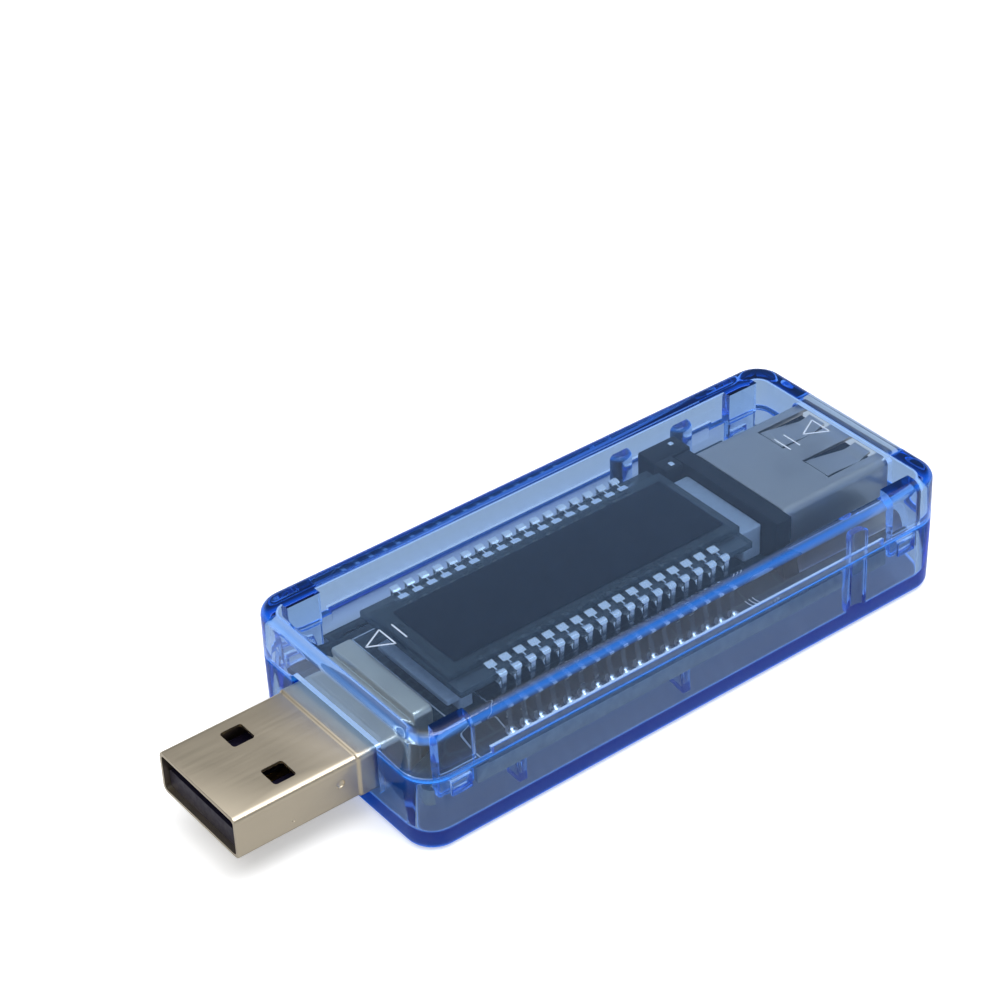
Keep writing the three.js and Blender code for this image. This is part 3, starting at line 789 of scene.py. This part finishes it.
# ---- plug ----
class METER_OT_plug(bpy.types.Operator):
    """Plug: bent metal shell with windows, moulded insulator and four contacts"""

    bl_idname = "meter.plug"
    bl_label = "Plug"

    def execute(self, context):
        self.shell()
        navy = moulded("navy_plastic", (0.012, 0.010, 0.030), 0.3, 0.5, 0.4)
        repaint("plug_insulator", navy)
        for k in range(4):
            repaint(f"plug_contact_{k + 1}", rolled_metal("gold"))
        return {"FINISHED"}

    def shell(self):
        """Rounded rectangles in Y and Z carried along X, outside to the rear and inside back
        to the nose. Half width and top follow the plain section, then rise by a smooth step to
        the root and again to the wide rear."""
        low = node_box("plug_shell")[0][0]
        sheet = mm(settings("metal").sheet)
        stations = np.array([
            [low, 5.93, 3.67, 8.03], [low + 0.05, 5.98, 3.62, 8.08], [low + 0.15, 6.0, 3.6, 8.1],
            [-1.9, 6.0, 3.6, 8.1], [-1.75, 6.01, 3.59, 8.11], [-1.65, 6.06, 3.54, 8.18],
            [-1.55, 6.11, 3.49, 8.23], [-1.4, 6.12, 3.48, 8.24], [4.05, 6.12, 3.48, 8.24],
            [4.15, 6.15, 3.4, 8.32], [4.25, 6.3, 2.95, 9.0], [4.35, 6.35, 2.83, 9.12],
            [4.45, 6.35, 2.8, 9.15], [6.1, 6.35, 2.8, 9.15], [6.2, 6.32, 2.83, 9.12]])
        rings = []
        for inner in (False, True):
            rows = stations[::-1] if inner else stations
            for x, half, bottom, top in rows:
                d = sheet if inner else 0.0
                x = x + (d * 0.8 if inner and 4 < x < 5 else 0)
                uv = ring_outline(half - d, (top - bottom) / 2 - d, 0.6 - d * 0.8, 8)
                rings.append(along("x", uv + [0, (top + bottom) / 2], x))
        shell = mesh_object("plug_shell_bent", loft(rings, loop=True))
        windows = [block((-9.1, y - 1.2, 0), (-6.85, y + 1.2, 12), 0.3, 0.02) for y in (-3.2, 3.2)]
        joint = [(low - 0.5, 0), (low + 4.0, 0), (low + 4.6, 1.1), (low + 6.4, 1.1), (low + 7.0, 0),
                 (-1.5, 0)]
        seam = [strip([a, b], 0.07, 0.36, "xy", 3.5, bevel=0.01)
                for a, b in zip(joint[:-1], joint[1:])]
        dimples = [dome((-3.6, 0, 0), 0.45, 0.25, sharp=4), dome((-8.6, 0, 0), 0.14, 0.1)]
        sunk = []
        for (points, faces), z in zip(dimples, (6.2, 4.9)):
            turned = np.column_stack([points[:, 0], -6.01 + points[:, 2], points[:, 1] + z])
            sunk.append((turned, faces))
        carve(shell, windows + seam + sunk)
        settle(shell, [rolled_metal("nickel")], replaces=["plug_shell"])


def repaint(node, material):
    """Gives a CAD node that keeps its shape its finish."""
    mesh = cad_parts[node].data
    mesh.materials.clear()
    mesh.materials.append(material)


# ---- socket ----
FINGER_SIDES = (-3.2, 3.2)


class METER_OT_socket(bpy.types.Operator):
    """Socket: rolled steel shell with four spring fingers, black insulator and contacts"""

    bl_idname = "meter.socket"
    bl_label = "Socket"

    def execute(self, context):
        steel = rolled_metal("steel")
        self.shell(steel)
        self.fingers(steel)
        repaint("socket_insulator", black_plastic())
        for k in range(4):
            repaint(f"socket_tail_{k + 1}", rolled_metal("gold"))
            self.spring(k)
        return {"FINISHED"}

    def shell(self, steel):
        """A rounded rectangle carried along X, flared a little at the mouth, walls of even
        thickness, then cut by tapered slots for the fingers."""
        low, high = node_box("socket_shell")
        sheet = mm(settings("metal").sheet)
        half, tall, middle = high[1], (high[2] - low[2]) / 2, (high[2] + low[2]) / 2
        stations = [(low[0], 0.05), (low[0] + 0.08, 0), (high[0] - 0.1, 0), (high[0], 0.06)]
        rings = []
        for d in (0.0, sheet):
            rows = stations if d == 0 else stations[::-1]
            for x, inset in rows:
                lean = -inset if d else inset
                uv = ring_outline(half - d - lean, tall - d - lean, 0.75 - d, 8)
                rings.append(along("x", uv + [0, middle], x))
        shell = mesh_object("socket_shell_rolled", loft(rings, loop=True))
        finger = node_box("socket_finger_top_far")
        root, tip = finger[0][0], finger[1][0]
        slots = []
        for y in FINGER_SIDES:
            for z in (low[2] - 1, high[2] - 1.2):
                path = [(root - 0.1, z + 1), (tip + 0.45, z + 1)]
                slots.append(strip(path, 2.4, 3.7, "xz", y, end_width=3.6, bevel=0.02))
        seam = strip([(low[0] - 1, 0.0), (high[0] + 1, 0.0)], 0.08, 0.4, "xy", low[2], bevel=0.01)
        carve(shell, slots + [seam])
        bridges = []
        for y in FINGER_SIDES:
            for z in (low[2] + sheet / 2, high[2] - sheet / 2):
                bridges.append(strip([(root - 0.4, z), (root - 0.05, z)], sheet * 0.96, 2.6, "xz", y))
        piece("socket_finger_roots", bridges, steel, "socket_steel")
        settle(shell, [steel], replaces=["socket_shell"])

    def fingers(self, steel):
        """Each finger is a strip along a line that dips into the socket and turns out again
        at its tip, and narrows on the way."""
        for level, up in (("top", 1), ("bottom", -1)):
            for place, side in SIDES.items():
                node = f"socket_finger_{level}_{place}"
                low, high = node_box(node)
                y = (low[1] + high[1]) / 2
                face = (high[2] - 0.15) if up > 0 else (low[2] + 0.15)
                x0, x1 = low[0], high[0]
                line = rounded_path([(x0, face), (x0 + 0.8, face), (x1 - 1.9, face - up * 0.5),
                                     (x1 - 1.3, face - up * 0.5), (x1, face - up * 0.15)])
                piece(node + "_bent", [strip(line, 0.3, 3.2, "xz", y, end_width=2.1)], steel,
                      "socket_steel", node, [node])

    def spring(self, k):
        """A contact's free part: a narrow strip along a line that bows away from the tongue."""
        node = f"socket_spring_{k + 1}"
        low, high = node_box(node)
        x0, run, level, bow = low[0], high[0] - low[0], 7.95, 0.55
        line = rounded_path([(x0, level), (x0 + 0.5, level), (x0 + run * 0.62, level - bow),
                             (x0 + run * 0.74, level - bow), (x0 + run * 0.93, level + 0.05),
                             (x0 + run, level + 0.15)])
        piece(node + "_bent", [strip(line, 0.25, 1.0, "xz", CONTACT_ROWS[k], end_width=0.8)],
              rolled_metal("gold"), "contact_gold", node, [node])


# ---- display ----
class METER_OT_display(bpy.types.Operator):
    """Display: two glasses, two films, backlight moulding and its light source"""

    bl_idname = "meter.display"
    bl_label = "Display"

    def execute(self, context):
        s = settings("display")
        film = display_film()
        for node, shape, material in (
                ("lcd_rear_glass", (0.12, 0.05), display_glass()),
                ("lcd_front_glass", (0.12, 0.05), display_glass()),
                ("lcd_front_polariser", (0.2, 0.03), film),
                ("lcd_rear_polariser", (0.2, 0.03), film)):
            low, high = node_box(node)
            slot = "display_glass" if "glass" in node else "polariser_film"
            piece(node + "_plate", [block(low, high, *shape)], material, slot, replaces=[node])
        self.sealant()
        self.backlight(moulded("backlight_plastic", tuple(s.light), 0.35, 0.5, 0.4))
        repaint("backlight_led", moulded("led_body", (0.75, 0.70, 0.38), 0.3, 0.4, 0.5))
        return {"FINISHED"}

    def sealant(self):
        """The dark frame of sealant and conductor ends between the glasses, one thin bar for
        each pin, running from the film's edge to the pin's jaw."""
        high = node_box("lcd_rear_glass")[1]
        bars = []
        for x in pin_places():
            for side in (-1, 1):
                y0, y1 = between(side, 4.7, 6.3)
                bars.append(block((x - 0.3, y0, high[2] + 0.005), (x + 0.3, y1, high[2] + 0.02), 0.02,
                                  0.004, steps=1, per_corner=1))
        piece("lcd_conductors", bars, moulded("conductor_film", (0.10, 0.12, 0.13), 0.2, 0.3, 0.5),
              "polariser_film")

    def backlight(self, white):
        """The moulding's plate and its two end legs."""
        low, high = node_box("backlight_panel")
        start, ledge = 9.8, 7.75
        parts = [block((start, low[1], high[2] - 2.2), high, 0.3, 0.12),
                 block((low[0], low[1], high[2] - 2.2), (start + 0.25, high[1], ledge), 0.2, 0.06),
                 block((start, low[1], low[2]), (start + 1.6, high[1], high[2] - 2.1), 0.3, 0.05),
                 block((high[0] - 2.2, low[1], low[2]), (high[0], high[1], high[2] - 2.1), 0.3, 0.05)]
        piece("backlight_moulding", parts, white, "backlight_white", replaces=["backlight_panel"])


def pin_places():
    """X of each pin, evenly spaced between the ends of the row."""
    low, high = node_box("lcd_pin_row_far")
    half = 0.475
    return np.linspace(low[0] + half, high[0] - half, 17)


class METER_OT_pins(bpy.types.Operator):
    """Display pins: each a bent tinned strip that grips the glass and goes through the board"""

    bl_idname = "meter.pins"
    bl_label = "Display pins"

    def execute(self, context):
        glass = node_box("lcd_rear_glass")
        under, over = glass[0][2], glass[1][2]
        for place, side in SIDES.items():
            row = f"lcd_pin_row_{place}"
            upper = rounded_path([(5.95, over + 0.24), (6.85, over + 0.14), (7.15, over + 0.12),
                                  (7.45, over + 0.14), (7.75, over + 0.36), (8.3, over + 0.34),
                                  (8.3, over - 0.5), (8.2, under - 0.8), (8.2, 3.25)])
            lower = rounded_path([(6.9, under - 0.12), (7.5, under - 0.15), (8.0, under - 0.2),
                                  (8.15, under - 0.6)])
            run = np.cumsum(np.linalg.norm(np.diff(upper, axis=0, prepend=upper[:1]), axis=1))
            upper_width = np.interp(run, (0.88, 0.92, 1.5, 1.55, 2.4, 2.6),
                                    (0.98, 0.14, 0.14, 0.88, 0.88, 0.5))
            parts = []
            for x in pin_places():
                for path, width in ((upper, upper_width), (lower, 0.5)):
                    line = path * [side, 1]
                    parts.append(strip(line, 0.2, width, "yz", x, bevel=0.03))
            piece(row + "_separate", parts, rolled_metal("tin"), "tinned_pins", replaces=[row])
        return {"FINISHED"}


# ---- board ----
class METER_OT_board(bpy.types.Operator):
    """Circuit board finish, its white print, solder joints and pads"""

    bl_idname = "meter.board"
    bl_label = "Circuit board"

    def execute(self, context):
        repaint("circuit_board", board_mask())
        low, high = node_box("circuit_board")
        self.bottom, self.top = low[2], high[2]
        self.printing()
        self.solder()
        return {"FINISHED"}

    def outline(self, x0, x1, y0, y1, top, thick=0.15):
        """Printed lines round a rectangle."""
        z0, z1 = (self.top, self.top + 0.02) if top else (self.bottom - 0.02, self.bottom)
        bars = [(x0, x1, y0, y0 + thick), (x0, x1, y1 - thick, y1), (x0, x0 + thick, y0, y1),
                (x1 - thick, x1, y0, y1)]
        return [block((a, c, z0), (b, d, z1), 0.01, 0.005, steps=1, per_corner=1)
                for a, b, c, d in bars]

    def arc(self, x, y, radius, turn0, turn1, top):
        """A printed arc: a flat strip along a circle."""
        angle = np.linspace(math.radians(turn0), math.radians(turn1), 12)
        line = np.stack([x + radius * np.cos(angle), y + radius * np.sin(angle)], 1)
        z = self.top + 0.01 if top else self.bottom - 0.01
        return strip(line, 0.12, 0.02, "xy", z, bevel=0.004)

    def printing(self):
        """White print: outlines round the chips, the display's outline and short arcs."""
        lines = []
        lines += self.outline(8.25, 12.4, -9.4, 9.2, True)
        lines += self.outline(8.3, 11.2, 10.15, 10.3, True)
        lines += [self.arc(42.2 + k * 0.45, -7.4, 1.7, 185, 275, True) for k in range(3)]
        for chip in ("microcontroller", "amplifier_chip", "memory_chip", "capacitor_1",
                     "shunt_resistor", "crystal", "voltage_regulator"):
            low, high = node_box(chip)
            lines += self.outline(low[0] - 0.4, high[0] + 0.4, low[1] - 0.4, high[1] + 0.4, False)
        lines += self.outline(33.0, 38.8, -10.9, -9.4, False)
        piece("board_print", lines, print_ink(), "board_mask")

    def solder(self):
        """A fillet round every pin under the board, and one on each connector tail."""
        joints = []
        for x in pin_places():
            for side in (-1, 1):
                joints.append(dome((x, side * 8.2, self.bottom), 0.72, 1.0, up=-1))
                joints.append(dome((x, side * 8.2, self.top), 0.6, 0.35, up=1))
        for y in CONTACT_ROWS:
            joints.append(dome((8.0, y, self.bottom), 0.85, 0.7, up=-1))
            joints.append(dome((44.2, y, self.bottom), 0.85, 0.7, up=-1))
        for x in (47.5, 56.0):
            for side in (-1, 1):
                joints.append(dome((x, side * 8.6, self.bottom), 1.1, 0.9, up=-1))
        for x, y in ((10.2, -9.6), (13.0, 9.8), (30.0, 9.9), (46.5, -9.8)):
            joints.append(dome((x, y, self.bottom), 0.7, 0.5, up=-1))
        piece("solder_joints", joints, rolled_metal("tin"), "tinned_pins")


class METER_OT_chips(bpy.types.Operator):
    """Chips under the board: tapered moulded bodies with gull-wing leads"""

    bl_idname = "meter.chips"
    bl_label = "Chips"

    def execute(self, context):
        board = node_box("circuit_board")[0][2]
        rows = (
            ("microcontroller", 7.0, 7.0, 12, 0.5, "xy"),
            ("amplifier_chip", 4.9, 3.9, 4, 1.27, "y"),
            ("memory_chip", 4.9, 3.9, 4, 1.27, "y"),
            ("voltage_regulator", 2.9, 1.6, 2, 1.9, "y"))
        for node, length_x, length_y, count, pitch, sides in rows:
            low, high = node_box(node)
            middle = (low + high) / 2
            half = np.array([length_x / 2, length_y / 2, 0])
            body_low = np.array([middle[0] - half[0], middle[1] - half[1], low[2]])
            body_high = np.array([middle[0] + half[0], middle[1] + half[1], high[2] - 0.12])
            lower_half = (body_low, [*body_high[:2], (body_low[2] + body_high[2]) / 2])
            parts = [block(*lower_half, 0.2, 0.05, taper=-0.08),
                     block([*body_low[:2], lower_half[1][2]], body_high, 0.2, 0.05, taper=0.08)]
            piece(node + "_body", parts, chip_plastic(), "chip_body", replaces=[node])
            leads = []
            for i in range(count):
                at = (i - (count - 1) / 2) * pitch
                for way in (-1, 1):
                    for axis in sides:
                        reach = half[0] if axis == "x" else half[1]
                        centre = middle[0] if axis == "x" else middle[1]
                        across = (middle[1] if axis == "x" else middle[0]) + at
                        mid = (low[2] + high[2]) / 2
                        path = rounded_path([(reach - 0.1, mid), (reach + 0.3, mid),
                                             (reach + 0.5, board - 0.08), (reach + 1.0, board - 0.08)],
                                            2)
                        line = path * [way, 1] + [centre, 0]
                        leads.append(strip(line, 0.13, min(0.4, pitch * 0.45), axis + "z", across,
                                           bevel=0.02))
            piece(node + "_leads", leads, rolled_metal("tin"), "tinned_pins")
        return {"FINISHED"}


class METER_OT_small_parts(bpy.types.Operator):
    """Capacitors, resistors, crystal and the black block beside the socket"""

    bl_idname = "meter.small_parts"
    bl_label = "Small parts"

    def execute(self, context):
        ceramic = moulded("tan_ceramic", (0.34, 0.22, 0.13), 0.4, 0.6, 0.4)
        for k in range(3):
            self.two_ended(f"capacitor_{k + 1}", ceramic, "ceramic_capacitor")
            self.two_ended(f"resistor_{k + 1}", chip_plastic(), "chip_body")
        self.two_ended("shunt_resistor", chip_plastic(), "chip_body")
        low, high = node_box("crystal")
        piece("crystal_case", [block(low, [*high[:2], high[2] - 0.2], 0.9, 0.2),
                               block(low - [0.15, 0.15, -0.6], high + [0.15, 0.15, 0], 0.8, 0.05)],
              rolled_metal("steel"), "crystal_can", replaces=["crystal"])
        self.corner_block()
        return {"FINISHED"}

    def two_ended(self, node, body, slot):
        """A body between two metal caps at the ends of its longer side."""
        low, high = node_box(node)
        axis = 0 if high[0] - low[0] > high[1] - low[1] else 1
        cap = 0.22 * (high[axis] - low[axis])
        inner_low, inner_high = low + 0.04, high - 0.04
        inner_low[axis] = low[axis] + cap * 0.5
        inner_high[axis] = high[axis] - cap * 0.5
        caps = []
        for at_low in (True, False):
            a, b = low.copy(), high.copy()
            if at_low:
                b[axis] = low[axis] + cap
            else:
                a[axis] = high[axis] - cap
            caps.append(block(a, b, 0.12, 0.1))
        piece(node + "_body", [block(inner_low, inner_high, 0.05, 0.05)], body, slot, replaces=[node])
        piece(node + "_caps", caps, rolled_metal("tin"), "tinned_pins")

    def corner_block(self):
        """Two joined black blocks with a bright contact tip on each."""
        low, high = node_box("corner_block")
        parts = [block((low[0], 7.6, low[2]), high, 0.2, 0.12),
                 block(low, (45.6, 7.8, high[2]), 0.2, 0.12)]
        piece("corner_block_moulding", parts, black_plastic(), "black_moulding",
              replaces=["corner_block"])
        tips = [block((44.4, 6.3, high[2] - 0.1), (44.9, 6.9, high[2] + 0.08), 0.08, 0.05),
                block((46.6, 9.0, high[2] - 0.1), (47.1, 9.5, high[2] + 0.08), 0.08, 0.05)]
        piece("corner_block_tips", tips, rolled_metal("tin"), "tinned_pins")


# ---- stage ----
class METER_OT_stage(bpy.types.Operator):
    """White floor, soft sky, two soft lamps and the camera"""

    bl_idname = "meter.stage"
    bl_label = "Stage"

    def execute(self, context):
        self.camera()
        self.floor()
        self.sky()
        self.lamps()
        context.scene.view_settings.view_transform = "Standard"
        return {"FINISHED"}

    def camera(self):
        """Looks at a fixed point from the set azimuth, elevation and distance, then rolls."""
        s = settings("stage")
        back = Vector((math.sin(s.azimuth) * math.cos(s.elevation),
                       -math.cos(s.azimuth) * math.cos(s.elevation), math.sin(s.elevation)))
        right = (-back).cross(Vector((0, 0, 1))).normalized()
        up = right.cross(-back)
        turned_right = right * math.cos(s.roll) + up * math.sin(s.roll)
        turned_up = up * math.cos(s.roll) - right * math.sin(s.roll)
        target = Vector((37.847 + CASE_X, 25.449, 0)) * MM
        data = bpy.data.cameras.new("camera")
        data.lens = s.focal
        data.clip_start = 0.01
        camera = bpy.data.objects.new("camera", data)
        bpy.context.collection.objects.link(camera)
        pose = Matrix((turned_right, turned_up, back)).transposed().to_4x4()
        pose.translation = target + back * s.distance
        camera.matrix_world = pose
        bpy.context.scene.camera = camera

    def floor(self):
        """A wide plane, white to the camera and through the casing, that keeps a soft shadow."""
        half = 3000.0
        corners = np.array([[-half, -half, 0], [half, -half, 0], [half, half, 0], [-half, half, 0]])
        floor = mesh_object("floor", (corners - [0, 0, 0.02], [[0, 1, 2, 3]]))
        f = Finish("floor_white", (0.8, 0.8, 0.8), roughness=0.9)
        f.set("Specular IOR Level", 0.0)
        f.set("Emission Color", (1, 1, 1, 1))
        path = f.tree.nodes.new("ShaderNodeLightPath")
        f.link(f.mix(path.outputs["Is Glossy Ray"], (0.88, 0.88, 0.88), (0.5, 0.5, 0.5)),
               f.surface.inputs["Base Color"])
        f.link(f.math("MULTIPLY_ADD", path.outputs["Is Transmission Ray"], 0.12,
                      f.math("MULTIPLY", path.outputs["Is Camera Ray"], 0.4)),
               f.surface.inputs["Emission Strength"])
        floor.data.materials.append(f.material)

    def sky(self):
        """Light from above: bright overhead, dim in a band half way up, paler at the horizon."""
        world = bpy.data.worlds.new("sky")
        bpy.context.scene.world = world
        world.use_nodes = True
        tree = world.node_tree
        background = tree.nodes["Background"]
        place = tree.nodes.new("ShaderNodeTexCoord")
        split = tree.nodes.new("ShaderNodeSeparateXYZ")
        ramp = tree.nodes.new("ShaderNodeValToRGB")
        tree.links.new(place.outputs["Generated"], split.inputs["Vector"])
        tree.links.new(split.outputs["Z"], ramp.inputs["Fac"])
        levels = ((0.0, 0.8), (0.25, 0.5), (0.45, 0.12), (0.66, 0.12), (0.85, 1.4), (1.0, 1.8))
        while len(ramp.color_ramp.elements) < len(levels):
            ramp.color_ramp.elements.new(0.5)
        for element, (at, level) in zip(ramp.color_ramp.elements, levels):
            element.position = at
            element.color = (level, level, level, 1)
        path = tree.nodes.new("ShaderNodeLightPath")
        through = tree.nodes.new("ShaderNodeMath")
        through.operation = "MAXIMUM"
        tree.links.new(path.outputs["Is Camera Ray"], through.inputs[0])
        tree.links.new(path.outputs["Is Transmission Ray"], through.inputs[1])
        white = tree.nodes.new("ShaderNodeMix")
        white.data_type = "RGBA"
        white.inputs[7].default_value = (1, 1, 1, 1)
        tree.links.new(through.outputs["Value"], white.inputs["Factor"])
        tree.links.new(ramp.outputs["Color"], white.inputs[6])
        tree.links.new(white.outputs[2], background.inputs["Color"])
        background.inputs["Strength"].default_value = settings("stage").sky

    def lamps(self):
        """One large soft box over the near side and one behind the camera's left."""
        for name, place, size, power in (
                ("overhead", (0.10, -0.25, 0.75), 0.5, 2.4),
                ("front_left", (-0.45, -0.40, 0.80), 0.5, 1.6)):
            data = bpy.data.lights.new(name, "AREA")
            data.energy = power
            data.shape = "DISK"
            data.size = size
            lamp = bpy.data.objects.new(name, data)
            bpy.context.collection.objects.link(lamp)
            lamp.location = place
            lamp.rotation_euler = (-Vector(place)).to_track_quat("-Z", "Y").to_euler()


OPERATORS = (METER_OT_front_cover, METER_OT_back_cover, METER_OT_marks, METER_OT_plug,
             METER_OT_socket, METER_OT_display, METER_OT_pins, METER_OT_board, METER_OT_chips,
             METER_OT_small_parts, METER_OT_stage)


class METER_PT_panel(bpy.types.Panel):
    """Lists the meter's sizes, colours and pieces"""

    bl_idname = "METER_PT_panel"
    bl_label = "Power meter"
    bl_space_type = "VIEW_3D"
    bl_region_type = "UI"
    bl_category = "Power meter"

    def draw(self, context):
        for name, group in SETTINGS.items():
            column = self.layout.column(align=True)
            for key in group.__annotations__:
                column.prop(getattr(context.scene, name), key)
        for operator in OPERATORS:
            self.layout.operator(operator.bl_idname)


CLASSES = (*SETTINGS.values(), *OPERATORS, METER_PT_panel)


def register():
    """Registers the classes and hangs the settings on the scene."""
    for cls in CLASSES:
        bpy.utils.register_class(cls)
    for name, group in SETTINGS.items():
        setattr(bpy.types.Scene, name, bpy.props.PointerProperty(type=group))


def unregister():
    """Takes the settings and the classes away again."""
    for name in SETTINGS:
        delattr(bpy.types.Scene, name)
    for cls in reversed(CLASSES):
        bpy.utils.unregister_class(cls)


def main():
    """Registers the add-on, makes every piece and writes the two boxes for comparison."""
    register()
    for operator in OPERATORS:
        group, name = operator.bl_idname.split(".")
        getattr(getattr(bpy.ops, group), name)()


if __name__ == "__main__":
    main()
